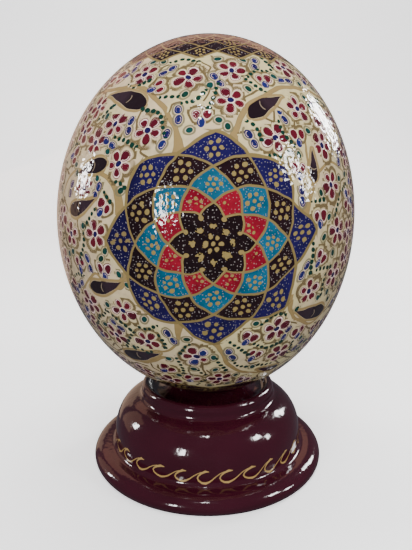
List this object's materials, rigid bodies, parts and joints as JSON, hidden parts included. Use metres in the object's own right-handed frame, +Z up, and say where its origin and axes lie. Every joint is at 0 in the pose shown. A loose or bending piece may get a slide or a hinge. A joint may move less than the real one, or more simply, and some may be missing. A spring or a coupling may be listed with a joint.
{
  "type": "painted ostrich egg on a turned stand",
  "caption": "Blown ostrich egg, painted all over with medallions and small flowers under gloss varnish, resting in a low turned wooden stand with a domed body and a round flange.",
  "frame": {"origin": "middle of the stand's foot, on the surface it stands on", "axes": "+Z up through the egg's blunt end; -Y is the painted front that faces the viewer; +X is the viewer's right"},
  "size_m": [0.1249, 0.125, 0.1839],
  "materials": {
    "painted_shell": "hand-painted shell under clear gloss varnish",
    "lacquered_wood": "turned wood in dark maroon gloss lacquer with a thin gold scroll"
  },
  "bodies": {
    "root": {"egg": "painted_shell", "stand": "lacquered_wood"}
  },
  "joints": []
}
